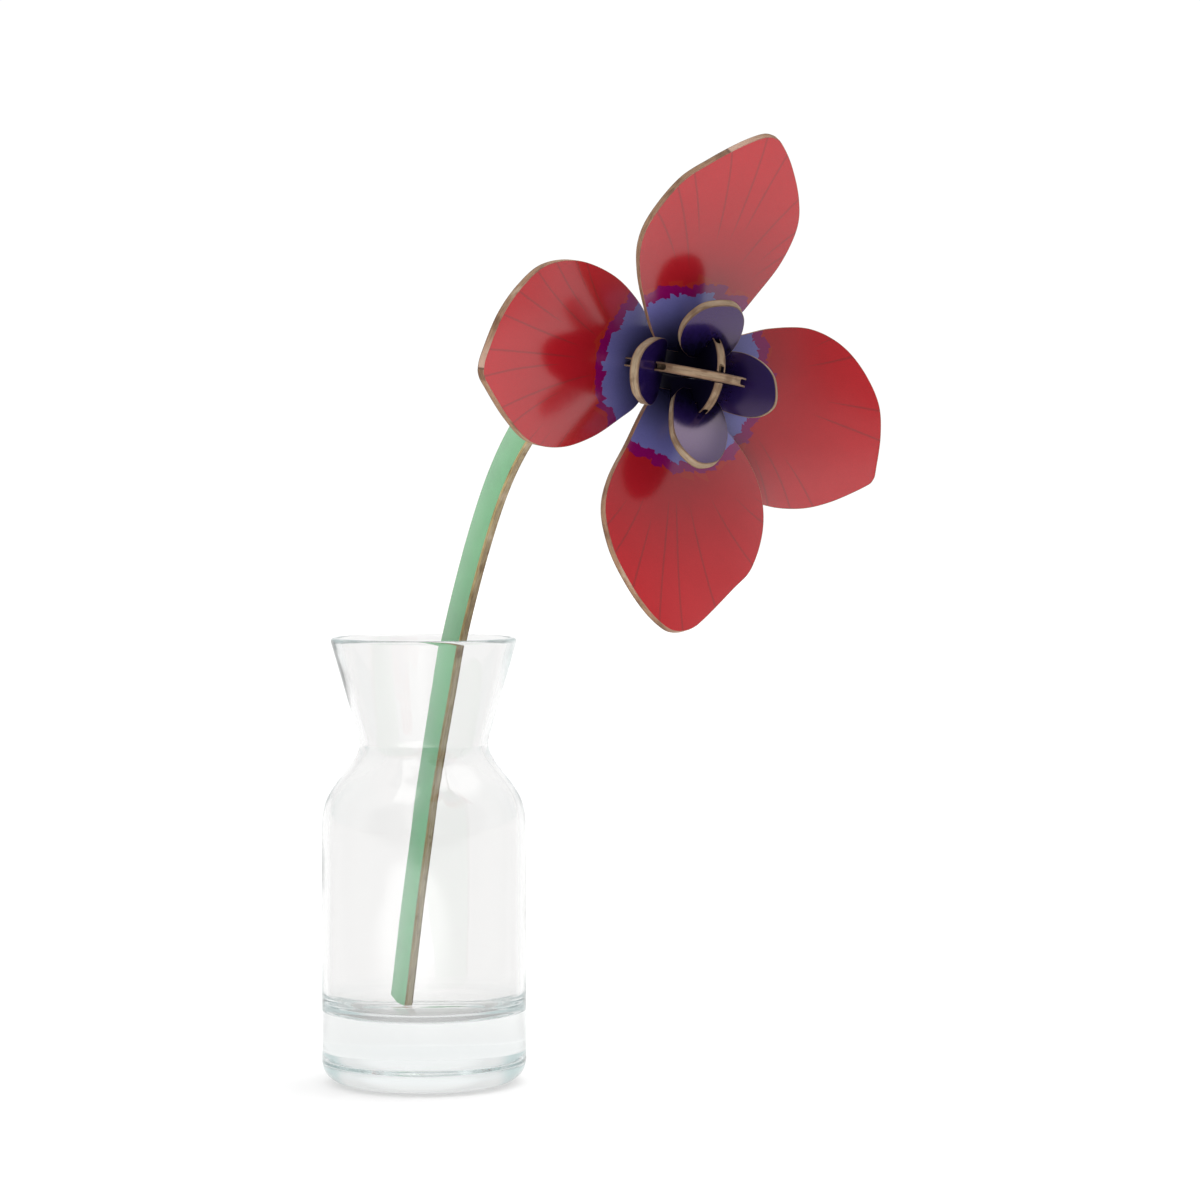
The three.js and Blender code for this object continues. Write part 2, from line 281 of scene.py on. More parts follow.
EDGE_PINK = (0.40, 0.215, 0.155)
EDGE_LAYER = (0.50, 0.42, 0.36)
EDGE_SMUDGE = (0.42, 0.31, 0.22)
EDGE_RUBBED = (0.54, 0.45, 0.34)
EDGE_LINE = (0.105, 0.062, 0.038)
EDGE_TORN = (0.60, 0.40, 0.31)
EDGE_NICK = (0.10, 0.05, 0.03)
EDGE_FIBRE = (0.09, 0.058, 0.036)
# painted reflection of the glass: the paler core that the stalk's edge is painted inside the carafe
STALK_CORE_PAINTED_REFLECTION = (0.60, 0.53, 0.33)
STALK_CORE = (0.37, 0.31, 0.185)
STALK_RIM = (0.40, 0.31, 0.16)
STALK_GOLD = (0.50, 0.39, 0.17)
STALK_REFLECTION_ENDS = (140.0, 165.0)  # levels between which the stalk's core changes from the painted reflection of the glass to its own colour
TAB_SIDE = -11.1  # where a tab held each large petal in its sheet, across from the middle
TAB_OUTWARD = (66.0, 68.0)

GLASS_WALL = (0.975, 0.972, 0.968)
GLASS_FLOOR = (0.955, 0.955, 0.95)
# partly painted light: the foot's band is faintly teal and painted clearer than the wall, so that the
# foot shows brighter
GLASS_FOOT_TINGE_AND_LIGHT = (0.985, 1.0, 1.0)


# ---- Sizes and colours that a user would change ---------------------------------------------


def colour_setting(name, description, default):
    return bpy.props.FloatVectorProperty(
        name=name, description=description, subtype="COLOR", default=default, min=0, max=1
    )


class BoardSettings(bpy.types.PropertyGroup):
    """The board that the flower is cut from."""

    thickness: bpy.props.FloatProperty(
        name="Thickness", description="Thickness of every board piece", default=3.0 * MM,
        min=1.0 * MM, unit="LENGTH",
    )
    edge_round: bpy.props.FloatProperty(
        name="Edge rounding", description="How far the cut edges are worn round",
        default=0.16 * MM, unit="LENGTH",
    )
    roughness: bpy.props.FloatProperty(
        name="Print roughness", description="Roughness of the satin print", default=0.18,
        min=0.0, max=1.0, subtype="FACTOR",
    )


class ColourSettings(bpy.types.PropertyGroup):
    """The printed colours, in linear light."""

    red: colour_setting("Petal red", "Red of the outer petals", (0.47, 0.010, 0.016))
    # partly painted shade: the red beside the ring is darker, partly in the ink and partly as painted
    # shade of the flower's middle
    red_deep_and_shade: colour_setting("Deep red", "Red beside the ring", (0.33, 0.008, 0.013))
    fringe: colour_setting(
        "Fringe", "Ragged ring between the red and the violet", (0.19, 0.001, 0.085)
    )
    violet: colour_setting("Violet", "Blue-violet root of the outer petals", (0.135, 0.13, 0.355))
    indigo: colour_setting("Indigo", "Inner petals", (0.014, 0.006, 0.06))
    stem: colour_setting("Stem green", "Green of the stem", (0.14, 0.43, 0.19))
    board_core: colour_setting("Board core", "Middle of the cut edges", (0.30, 0.225, 0.145))
    board_rim: colour_setting(
        "Board rim", "Scorched lines along the cut edges", (0.30, 0.155, 0.078)
    )


class CarafeSettings(bpy.types.PropertyGroup):
    """The glass of the carafe."""

    height: bpy.props.FloatProperty(
        name="Height", description="Height of the carafe's rim", default=CARAFE_TOP,
        unit="LENGTH",
    )
    tint: colour_setting(
        "Tint", "What a long way through the glass leaves of white light", (0.56, 0.70, 0.70)
    )
    depth_of_tint: bpy.props.FloatProperty(
        name="Depth of tint", description="Strength of the tint, per metre of glass",
        default=2.2, min=0.0,
    )


# ---- Shader arithmetic ----------------------------------------------------------------------


class Value:
    """A socket that takes part in ordinary arithmetic, each step of it a Math node."""

    def __init__(self, shader, socket):
        self.shader = shader
        self.socket = socket

    def step(self, operation, *others, clamp=False):
        inputs = dict(enumerate((self, *others)))
        node = self.shader.node("ShaderNodeMath", {"operation": operation, "use_clamp": clamp}, inputs)
        return Value(self.shader, node.outputs[0])

    def flipped(self, operation, other):
        """The operation with this value as its second number."""
        node = self.shader.node("ShaderNodeMath", {"operation": operation}, {0: other, 1: self})
        return Value(self.shader, node.outputs[0])

    def __add__(self, other):
        return self.step("ADD", other)

    __radd__ = __add__

    def __sub__(self, other):
        return self.step("SUBTRACT", other)

    def __rsub__(self, other):
        return self.flipped("SUBTRACT", other)

    def __mul__(self, other):
        return self.step("MULTIPLY", other)

    __rmul__ = __mul__

    def __truediv__(self, other):
        return self.step("DIVIDE", other)

    def __rtruediv__(self, other):
        return self.flipped("DIVIDE", other)

    def size(self):
        return self.step("ABSOLUTE")

    def floor(self):
        return self.step("FLOOR")

    def fraction(self):
        return self.step("FRACT")

    def smaller(self, other):
        return self.step("MINIMUM", other)

    def larger(self, other):
        return self.step("MAXIMUM", other)

    def clamped(self):
        return self.step("ADD", 0.0, clamp=True)

    def rise(self, low, high):
        """0 below `low` and 1 above `high`, with a smooth step between."""
        settings = {"interpolation_type": "SMOOTHSTEP"}
        inputs = {"Value": self, "From Min": low, "From Max": high, "To Min": 0.0, "To Max": 1.0}
        return Value(self.shader, self.shader.node("ShaderNodeMapRange", settings, inputs).outputs[0])

    def fall(self, low, high):
        """1 below `low` and 0 above `high`."""
        return 1.0 - self.rise(low, high)


class Tree:
    """A node tree, and the one way that nodes are put into it."""

    def __init__(self, owner):
        owner.use_nodes = True
        self.tree = owner.node_tree
        self.tree.nodes.clear()

    def link(self, source, target):
        self.tree.links.new(source, target)

    def put(self, socket, value):
        if isinstance(value, Value):
            self.link(value.socket, socket)
        elif isinstance(value, bpy.types.NodeSocket):
            self.link(value, socket)
        elif hasattr(value, "__len__") and socket.type == "RGBA" and len(value) == 3:
            socket.default_value = (*value, 1.0)
        else:
            socket.default_value = value

    def node(self, kind, settings=None, inputs=None):
        node = self.tree.nodes.new(kind)
        for key, value in (settings or {}).items():
            setattr(node, key, value)
        for key, value in (inputs or {}).items():
            self.put(node.inputs[key], value)
        return node

    def parts(self, vector):
        """The three parts of a vector."""
        node = self.node("ShaderNodeSeparateXYZ", None, {0: vector})
        return [Value(self, part) for part in node.outputs]

    def vector(self, x, y, z=0.0):
        return self.node("ShaderNodeCombineXYZ", None, {0: x, 1: y, 2: z}).outputs[0]

    def length(self, vector):
        node = self.node("ShaderNodeVectorMath", {"operation": "LENGTH"}, {0: vector})
        return Value(self, node.outputs["Value"])


class Finish(Tree):
    """One material, with the few kinds of node that the finishes are made of."""

    def __init__(self, name):
        self.material = bpy.data.materials.new(name)
        super().__init__(self.material)
        self.shader = self.node("ShaderNodeBsdfPrincipled")
        self.output = self.node("ShaderNodeOutputMaterial")
        self.link(self.shader.outputs["BSDF"], self.output.inputs["Surface"])

    def surface(self, **inputs):
        """Sets the surface's own sockets, with underscores for the spaces in their names."""
        for key, value in inputs.items():
            self.put(self.shader.inputs[key.replace("_", " ")], value)

    def mix(self, factor, first, second, blend="MIX"):
        settings = {"data_type": "RGBA", "blend_type": blend}
        node = self.node("ShaderNodeMix", settings, {0: factor, 6: first, 7: second})
        return node.outputs[2]

    def place(self):
        """Object coordinates, in millimetres."""
        source = self.node("ShaderNodeTexCoord").outputs["Object"]
        inputs = {0: source, "Scale": 1 / MM}
        return self.node("ShaderNodeVectorMath", {"operation": "SCALE"}, inputs).outputs[0]

    def pattern(self):
        """The flat cutting pattern's across, outward and through, in millimetres."""
        source = self.node("ShaderNodeAttribute", {"attribute_name": "pattern"}).outputs["Vector"]
        return [part * (1 / MM) for part in self.parts(source)]

    def noise(self, where, scale=1.0, detail=2.0, roughness=0.5, distortion=0.0):
        inputs = {
            "Vector": where, "Scale": scale, "Detail": detail, "Roughness": roughness,
            "Distortion": distortion,
        }
        return Value(self, self.node("ShaderNodeTexNoise", None, inputs).outputs[0])

    def dice(self, number):
        """Three random values that stay the same over each whole number."""
        node = self.node("ShaderNodeTexWhiteNoise", {"noise_dimensions": "1D"}, {"W": number})
        parts = self.node("ShaderNodeSeparateColor", None, {0: node.outputs["Color"]})
        return [Value(self, part) for part in parts.outputs]

    def bump(self, height, distance, strength):
        inputs = {"Height": height, "Distance": distance, "Strength": strength}
        return self.node("ShaderNodeBump", None, inputs).outputs[0]


# ---- Finishes -------------------------------------------------------------------------------


def print_surface(finish, colour, roughness, sheen=(1.0, 1.0, 1.0), ior=PRINT_IOR, lacquer=0.0):
    """Satin print, with the fine tooth of its paper and the unevenness of the board under it."""
    where = finish.place()
    tooth = finish.noise(where, scale=3.1, roughness=0.6)
    uneven = finish.noise(where, scale=0.12)
    speckled = finish.mix((tooth - 0.5) * 0.34 + 0.10, colour, (0.0, 0.0, 0.0), "MULTIPLY")
    shade = finish.mix(uneven.rise(0.35, 0.65) * 0.10, speckled, (0.7, 0.5, 0.5), "MULTIPLY")
    finish.surface(
        Base_Color=shade,
        Roughness=(tooth - 0.5) * 0.05 + roughness,
        IOR=ior,
        Specular_Tint=(*sheen, 1.0),
        Coat_Weight=lacquer,
        Coat_Roughness=roughness,
        Coat_IOR=LACQUER_IOR,
        Normal=finish.bump(tooth * 0.3 + uneven * 2.0, distance=0.02 * MM, strength=0.12),
    )


def ragged_border(finish, start, along, seed, teeth):
    """`start` moved in and out by short slanted steps of random height, like torn paper."""
    border = start
    for offset, reach, length in teeth:
        cell = along / length + (seed + offset)
        first, second, third = finish.dice(cell.floor())
        slope = (cell.fraction() - 0.5) * (second - 0.5) * 2.2
        border = border + ((first - 0.5) * 1.1 + slope + (third - 0.5) * 0.4) * reach
    return border


def vein_lines(finish, angle, radius, ring, seed):
    """Thin lines that fan out from the ring, each with its own start, end, lean and bend."""
    spread = radius * ((1 - VEIN_ROOT_SPACING) / PETAL_TIP) + VEIN_ROOT_SPACING
    lane = angle / spread / VEIN_SPACING + seed
    lean, start, end = finish.dice(lane.floor())
    outward = radius - VEIN_CROSSING
    bend = outward * (start - 0.5) * 0.014 + outward * outward * (end - 0.5) * 0.0003
    offset = lane.fraction() - (lean * 0.44 + 0.28) + bend
    distance = offset.size() * VEIN_SPACING * spread * radius
    first = start * VEIN_STARTS
    last = end * VEIN_ENDS
    begins = radius.rise(first + (ring + 2.0), first + (ring + 16.0))
    ends = radius.fall(last + 54.0, last + 72.0)
    body = begins * ends
    half = body * VEIN_WIDTH + VEIN_LEAST_WIDTH
    return (distance / half).fall(0.35, 1.4) * body.rise(0.0, 0.3) * end.rise(*VEIN_SKIPPED)


def petal_print(name, colours, roughness, ring, seed):
    """Red with darker veins, a ragged magenta ring and a violet-blue root; the red and the violet
    darken toward the flower's middle, partly in the print and partly as painted shade.
    """
    finish = Finish(name)
    across, outward, _ = finish.pattern()
    radius = finish.length(finish.vector(across, outward))
    angle = across.step("ARCTAN2", outward)
    along = angle * ring
    swell = finish.noise(finish.vector(along * 0.10, seed), detail=1.0) - 0.5
    swell = swell * 7.0
    violet_edge = ragged_border(finish, swell, along, seed, VIOLET_TEETH)
    fringe_edge = ragged_border(finish, swell * 0.8, along, seed, FRINGE_TEETH)
    ember_edge = ragged_border(finish, swell * 0.6, along, seed, EMBER_TEETH)
    fringe_end = ring + FRINGE_WIDTH
    ember_end = ring + EMBER_WIDTH
    in_violet = (radius - violet_edge).fall(ring - 0.08, ring + 0.08)
    in_fringe = (radius - fringe_edge).fall(fringe_end, fringe_end + 0.16)
    in_ember = (radius - ember_edge).fall(ember_end, ember_end + 0.2)

    veins = vein_lines(finish, angle, radius, ring, seed + VEIN_SEED)
    # partly painted shade: the red deepens toward the ring, partly in the ink and partly as painted
    # shade of the flower's middle
    red = finish.mix(radius.rise(ring, PETAL_TIP), colours.red_deep_and_shade, colours.red)
    red = finish.mix(in_ember * 0.55, red, EMBER)
    red = finish.mix(veins * 0.38, red, VEIN)
    # partly painted shade: the violet darkens toward the root, partly in the print and partly as
    # painted shade
    violet = finish.mix(radius.rise(5.0, ring + 2.0), VIOLET_ROOT_AND_SHADE, colours.violet)
    colour = finish.mix(in_fringe, red, colours.fringe)
    colour = finish.mix(in_violet, colour, violet)
    print_surface(finish, colour, roughness)
    return finish.material


def centre_print(name, colours, roughness):
    """Deep indigo, almost black at the root, with a scatter of black dots round it."""
    finish = Finish(name)
    across, outward, _ = finish.pattern()
    where = finish.vector(across, outward)
    radius = finish.length(where)
    cells = finish.node(
        "ShaderNodeTexVoronoi", {"voronoi_dimensions": "2D"}, {"Vector": where, "Scale": DOT_DENSITY}
    )
    draw = finish.node("ShaderNodeSeparateColor", None, {0: cells.outputs["Color"]}).outputs[0]
    kept = Value(finish, draw).rise(0.34, 0.36)
    dot = Value(finish, cells.outputs["Distance"]).fall(0.20, 0.34) * kept
    band = radius.rise(*DOTS_BEGIN) * radius.fall(*DOTS_END)
    colour = finish.mix(radius.rise(8.0, 24.0), INDIGO_ROOT, colours.indigo)
    colour = finish.mix(dot * band, colour, DOT_BLACK)
    print_surface(finish, colour, roughness, ROSY_SHEEN)
    return finish.material


def rib_print(name, roughness):
    """Indigo so deep that it is nearly black."""
    finish = Finish(name)
    drift = finish.noise(finish.place(), scale=0.09, detail=3.0)
    colour = finish.mix(drift.rise(0.3, 0.7), RIB_INDIGO_DARK, RIB_INDIGO)
    print_surface(finish, colour, roughness, ior=MATT_IOR)
    return finish.material


def stem_print(name, colours, roughness):
    """Light green, painted paler below the carafe's mouth as a reflection of the glass over it, and
    indigo from the back of the head forward.
    """
    finish = Finish(name)
    along, _, _ = finish.pattern()
    where = finish.place()
    level = finish.parts(where)[2]
    drift = finish.noise(where, scale=0.045, detail=3.0)
    green = finish.mix(drift.rise(0.3, 0.7), colours.stem, DRIFTING_GREEN)
    # painted reflection: the stem is painted paler below the carafe's mouth, and more so deeper down,
    # where the glass lies over it
    painted_reflection = level.fall(*PAINTED_REFLECTION_DEEP) * 0.40 + level.fall(*PAINTED_REFLECTION_AT_MOUTH) * 0.50
    green = finish.mix(painted_reflection, green, GREEN_PAINTED_REFLECTION)
    on_rib = along.rise(RIB_BACK - 1.2, RIB_BACK - 1.0)
    colour = finish.mix(on_rib, green, RIB_INDIGO)
    print_surface(finish, colour, roughness, ior=MATT_IOR, lacquer=1.0 - on_rib)
    return finish.material


def cut_edge(name, colours, thickness, scorch, golden=0.0, tab=0.0):
    """Cut edge of pressed board: fine layers between dark lines, smudged by the cutting.

    `scorch` browns it, `golden` is how golden it is along the stem, whose core is also painted paler
    below the carafe's mouth as a reflection of the glass, and `tab` leaves the nick and the paler
    stretch where a petal was broken out of its sheet.
    """
    finish = Finish(name)
    across, outward, through = finish.pattern()
    where = finish.place()
    wander = (finish.noise(where, scale=0.5) - 0.5) * 0.22
    to_face = through * (2 * MM / thickness) + wander
    depth = through.size() * (2 * MM / thickness) + wander
    beside_print = to_face.rise(0.3, 0.6)
    flow = finish.vector(across * 0.16, outward * 0.16, through * 2.6)
    layers = finish.noise(flow, detail=4.0, roughness=0.65, distortion=0.4)
    blurred = finish.vector(across, outward, through * 1.6)
    smudge = finish.noise(blurred, scale=0.11, detail=3.0, roughness=0.6)
    fibres = finish.noise(where, scale=2.4, detail=3.0, roughness=0.6)

    stalk = across.fall(RIB_BACK - 4.0, RIB_BACK) * golden
    # painted reflection: below the carafe's mouth the stalk's core is painted paler, where the glass
    # lies over it
    above = finish.parts(where)[2].rise(*STALK_REFLECTION_ENDS)
    stalk_core_and_reflection = finish.mix(above, STALK_CORE_PAINTED_REFLECTION, STALK_CORE)
    core = finish.mix(scorch, colours.board_core, colours.board_rim)
    core = finish.mix(stalk, core, stalk_core_and_reflection)
    rim = finish.mix(stalk, colours.board_rim, STALK_RIM)
    colour = finish.mix(depth.rise(0.35, 0.85) * 0.55, core, rim)
    colour = finish.mix(to_face.rise(0.25, 0.8) * scorch * 0.6, colour, EDGE_PINK)
    colour = finish.mix(beside_print * stalk, colour, STALK_GOLD)

    colour = finish.mix(layers.rise(0.42, 0.60) * 0.60, colour, EDGE_LAYER, "MULTIPLY")
    colour = finish.mix(smudge.rise(0.50, 0.66) * 0.70, colour, EDGE_SMUDGE, "MULTIPLY")
    colour = finish.mix(smudge.fall(0.30, 0.44) * 0.35, colour, EDGE_RUBBED)

    at_tip = outward.rise(*TAB_OUTWARD) * tab
    torn = across.rise(TAB_SIDE, TAB_SIDE + 0.3) * across.fall(TAB_SIDE + 1.0, TAB_SIDE + 13.0)
    nick = (across - TAB_SIDE).size().fall(0.1, 0.55)
    lines = depth.rise(0.66, 0.88) * (0.65 + smudge.rise(0.35, 0.6) * 0.35)
    lines = lines * (1.0 - stalk * 0.6) * (1.0 - beside_print * (stalk + scorch).clamped())
    colour = finish.mix(torn * at_tip * 0.65, colour, EDGE_TORN)
    colour = finish.mix(lines, colour, EDGE_LINE)
    colour = finish.mix(nick * at_tip * 0.8, colour, EDGE_NICK)
    colour = finish.mix(fibres.rise(0.62, 0.72) * 0.4, colour, EDGE_FIBRE)
    finish.surface(
        Base_Color=colour,
        Roughness=0.85 - fibres * 0.1,
        Normal=finish.bump(layers * 2.0 + fibres, distance=0.12 * MM, strength=0.6),
    )
    return finish.material


def clear_glass(name, settings):
    """Clear glass with a faint blue-green tint where it is thick, and a band in the foot painted
    clearer, partly as a teal tinge and partly as painted light.
    """
    finish = Finish(name)
    where = finish.place()
    ripple = finish.noise(where, scale=0.02)
    level = finish.parts(where)[2]
    in_foot = level.rise(2.0, 6.0) * level.fall(9.0, 13.0)
    in_floor = level.fall(19.0, 24.0)
    wall = finish.mix(in_floor, GLASS_WALL, GLASS_FLOOR)
    finish.surface(
        # partly painted light: a clearer, faintly teal band in the foot, which brightens it
        Base_Color=finish.mix(in_foot, wall, GLASS_FOOT_TINGE_AND_LIGHT),
        Roughness=0.03,
        IOR=1.5,
        Transmission_Weight=1.0,
        Normal=finish.bump(ripple, distance=1.2 * MM, strength=0.25),
    )
    tint = finish.node(
        "ShaderNodeVolumeAbsorption", None,
        {"Color": (*settings.tint, 1.0), "Density": settings.depth_of_tint},
    )
    finish.link(tint.outputs[0], finish.output.inputs["Volume"])
    return finish.material


# ---- Working by hand ------------------------------------------------------------------------


def take_up(obj):
    """Makes `obj` the only selected object and the active one."""
    bpy.ops.object.select_all(action="DESELECT")
    obj.select_set(True)
    bpy.context.view_layer.objects.active = obj


def edit(obj, mode="VERT"):
    take_up(obj)
    bpy.ops.object.mode_set(mode="EDIT")
    bpy.ops.mesh.select_mode(type=mode)


def leave_edit():
    bpy.ops.object.mode_set(mode="OBJECT")


def move(obj, matrix):
    """Moves the mesh itself, so that the object stays at the origin."""
    take_up(obj)
    obj.matrix_world = matrix @ obj.matrix_world
    bpy.ops.object.transform_apply(location=True, rotation=True, scale=True)


def tidy_mesh(obj):
    edit(obj)
    bpy.ops.mesh.select_all(action="SELECT")
    bpy.ops.mesh.remove_doubles(threshold=MERGE_WITHIN * MM)
    bpy.ops.mesh.normals_make_consistent(inside=False)
    leave_edit()


def smooth_handles(points):
    """The two handles of each point, so that a smooth curve runs through all of them."""
    last = len(points) - 1
    handles = []
    for i, point in enumerate(points):
        lean = (points[min(i + 1, last)] - points[max(i - 1, 0)]) / 6
        handles.append((point - lean if i > 0 else point, point + lean if i < last else point))
    return handles


def board_plate(name, outline, settings, smooth=True):
    """A flat plate of board, centred on its mid-plane, cut to a closed outline."""
    points = [Vector((x * MM, y * MM, 0)) for x, y in outline]
    bpy.ops.object.select_all(action="DESELECT")
    bpy.ops.curve.primitive_bezier_circle_add()
    obj = bpy.context.object
    obj.name = name
    curve = obj.data
    curve.dimensions = "2D"
    curve.fill_mode = "BOTH"
    curve.resolution_u = OUTLINE_STEPS if smooth else 1
    curve.extrude = settings.thickness / 2 - settings.edge_round
    curve.bevel_depth = settings.edge_round
    curve.bevel_resolution = 2
    curve.offset = -settings.edge_round
    spline = curve.splines[0]
    spline.bezier_points.add(len(points) - len(spline.bezier_points))
    handles = smooth_handles(points) if smooth else [(point, point) for point in points]
    for knot, point, (left, right) in zip(spline.bezier_points, points, handles):
        knot.handle_left_type = "FREE"
        knot.handle_right_type = "FREE"
        knot.co = point
        knot.handle_left = left
        knot.handle_right = right
    take_up(obj)
    bpy.ops.object.convert(target="MESH")
    tidy_mesh(obj)
    return obj


def cutting_box(low, high):
    """A box between two corners in millimetres, to cut with."""
    size = [(b - a) * MM for a, b in zip(low, high)]
    centre = [(b + a) / 2 * MM for a, b in zip(low, high)]
    bpy.ops.object.select_all(action="DESELECT")
    bpy.ops.mesh.primitive_cube_add(size=1, location=centre, scale=size)
    box = bpy.context.object
    bpy.ops.object.transform_apply(location=True, rotation=True, scale=True)
    return box


def cut_away(obj, cutter):
    take_up(obj)
    modifier = obj.modifiers.new("cut", "BOOLEAN")
    modifier.operation = "DIFFERENCE"
    modifier.solver = "EXACT"
    modifier.object = cutter
    bpy.ops.object.modifier_apply(modifier=modifier.name)
    bpy.data.objects.remove(cutter)


def spline_point(points, t):
    """A point at t, from 0 to 1, on the smooth curve through the points."""
    place = (len(points) - 1) * t
    i = min(int(place), len(points) - 2)
    w = place - i
    p1, p2 = points[i], points[i + 1]
    p0 = points[max(i - 1, 0)]
    p3 = points[min(i + 2, len(points) - 1)]
    v0, v1 = (p2 - p0) / 2, (p3 - p1) / 2
    cubic = (p1 - p2) * 2 + v0 + v1
    square = (p2 - p1) * 3 - v0 * 2 - v1
    return cubic * w**3 + square * w**2 + v0 * w + p1


def arc(centre, radius, start, end, steps):
    points = []
    for i in range(steps + 1):
        angle = math.radians(start + (end - start) * i / steps)
        points.append((centre[0] + radius * math.cos(angle), centre[1] + radius * math.sin(angle)))
    return points


# ---- Where things are in the head -----------------------------------------------------------


def head_matrix():
    turn = Matrix.Rotation(math.radians(HEAD_TURN), 4, "Z")
    nod = Matrix.Rotation(math.radians(90 + HEAD_NOD), 4, "X")
    roll = Matrix.Rotation(math.radians(HEAD_ROLL), 4, "Z")
    return Matrix.Translation(Vector(HEAD_CENTRE) * MM) @ turn @ nod @ roll


def petal_matrix(side, layout):
    """From a petal's pattern, with its printed face at z = 0, to the head."""
    lift = Matrix.Translation((0, 0, layout["height"] * MM))
    turn = Matrix.Rotation(math.radians(PETAL_TURNS[side]), 4, "Z")
    tilt = Matrix.Rotation(math.radians(90 - layout["tilt"]), 4, "X")
    return lift @ turn @ tilt


def rib_matrix():
    """From a plate drawn along the head's axis and upward, to the head."""
    return Matrix.Rotation(math.radians(-90), 4, "Y")


def paint_board(obj, pattern_matrix, front, back, edge):
    """Gives a board piece its pattern coordinates, and its faces and cut edges their finishes."""
    mesh = obj.data
    mesh.materials.clear()
    for material in (front, back, edge):
        mesh.materials.append(material)
    to_pattern = pattern_matrix.inverted()
    attribute = mesh.attributes.new("pattern", "FLOAT_VECTOR", "POINT")
    for vertex, entry in zip(mesh.vertices, attribute.data):
        entry.vector = to_pattern @ vertex.co
    turn = to_pattern.to_3x3()
    for polygon in mesh.polygons:
        facing = (turn @ polygon.normal).z
        polygon.material_index = 0 if facing > FLAT else 1 if facing < -FLAT else 2
    take_up(obj)
    bpy.ops.object.shade_smooth_by_angle(angle=math.radians(BOARD_SMOOTHING))


def hand_over(obj, node):
    """Lets a finished piece stand for its solid."""
    obj.name = node + "_dressed"
    obj.data.name = obj.name
    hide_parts(node)
    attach(obj, "root")


# ---- Board pieces ---------------------------------------------------------------------------


def make_petal(node, side, outline, layout, finishes):
    board = bpy.context.scene.anemone_board
    obj = board_plate(node, outline, board)
    half = board.thickness / MM / 2
    gap = half + SLOT_CLEARANCE
    cut_away(obj, cutting_box((-gap, 0, -half - 1), (gap, layout["slot_end"], half + 1)))
    centred = Matrix.Translation((0, 0, -board.thickness / 2))
    place = head_matrix() @ petal_matrix(side, layout) @ centred
    move(obj, place)
    tidy_mesh(obj)
    paint_board(obj, place, *finishes)
    hand_over(obj, node)


def rib_outline(half):
    """Crest and sides of a rib, from its upper to its lower corner at the back."""
    back_half = STEM_WIDTH / 2
    bend = RIB_BACK + RIB_NECK_BEND
    full = RIB_BACK + RIB_NECK
    side = []
    for i in range(RIB_NECK_STEPS + 1):
        t = i / RIB_NECK_STEPS
        x = RIB_BACK * (1 - t) ** 2 + bend * 2 * t * (1 - t) + full * t**2
        y = back_half * (1 - t) ** 2 + half * 2 * t * (1 - t) + half * t**2
        side.append((x, y))
    crest = arc((RIB_CREST - half, 0), half, 90, -90, RIB_CREST_STEPS)
    return side + crest + [(x, -y) for x, y in reversed(side)]


def stem_strip():
    """The two edges of the stem's strip, from the rib to a little past the foot."""
    knots = [Vector(knot) for knot in STEM_LINE]
    line = [spline_point(knots, i / STEM_STEPS) for i in range(STEM_STEPS + 1)]
    tail = (line[-1] - line[-2]).to_2d().normalized() * STEM_FOOT_SPARE
    line.append(line[-1] + tail.to_3d())
    upper, lower = [], []
    for i, point in enumerate(line):
        along = (line[min(i + 1, len(line) - 1)] - line[max(i - 1, 0)]).to_2d().normalized()
        across = Vector((-along.y, along.x)) * (point.z / 2)
        upper.append(tuple(point.to_2d() + across))
        lower.append(tuple(point.to_2d() - across))
    return upper, lower


def petal_slot(side, layout, thickness):
    """The slot that a petal needs in its rib, in the head's own frame."""
    near = layout["slot_end"] - SLOT_CLEARANCE
    low = (-thickness, near, -thickness - SLOT_CLEARANCE)
    high = (thickness, layout["slot_end"] + REACH, SLOT_CLEARANCE)
    box = cutting_box(low, high)
    move(box, petal_matrix(side, layout))
    return box


def fork_cutter(side, half, angle, low, high):
    """A soft-cornered cutter on a rib's crest, `angle` from the head's axis."""
    box = cutting_box(
        (-FORK_WIDTH / 2, low, half - FORK_DEPTH), (FORK_WIDTH / 2, high, half + FORK_DEPTH)
    )
    edit(box, "EDGE")
    bpy.ops.mesh.select_all(action="SELECT")
    bpy.ops.mesh.bevel(offset=FORK_WIDTH * FORK_ROUND * MM, segments=3)
    leave_edit()
    centre = Matrix.Translation((0, 0, (RIB_CREST - half) * MM))
    turn = Matrix.Rotation(math.radians(PETAL_TURNS[side]), 4, "Z")
    move(box, turn @ centre @ Matrix.Rotation(-angle, 4, "X"))
    return box


def crest_angle(layout, half, offset):
    """Where a plane `offset` in front of a petal's face meets the rib's round crest."""
    tilt = math.radians(layout["tilt"])
    drop = (RIB_CREST - half - layout["height"]) * math.sin(tilt) - offset
    return tilt + math.asin(drop / half)


def make_rib(node, sides, half, outline, place, cutters, fork):
    """A rib's plate with its cutters, its petals' slots, and a fork on both sides of each slot."""
    board = bpy.context.scene.anemone_board
    thickness = board.thickness / MM
    obj = board_plate(node, outline, board, smooth=False)
    move(obj, place)
    for cutter in cutters:
        cut_away(obj, cutter)
    for side in sides:
        cut_away(obj, petal_slot(side, OUTER[side], thickness))
        cut_away(obj, petal_slot(side, INNER[side], thickness))
        front = crest_angle(INNER[side], half, SLOT_CLEARANCE)
        back = crest_angle(INNER[side], half, -thickness - SLOT_CLEARANCE)
        cut_away(obj, fork_cutter(side, half, front, -fork, FORK_OVERLAP))
        cut_away(obj, fork_cutter(side, half, back, -FORK_OVERLAP, fork))
    move(obj, head_matrix())
    return obj


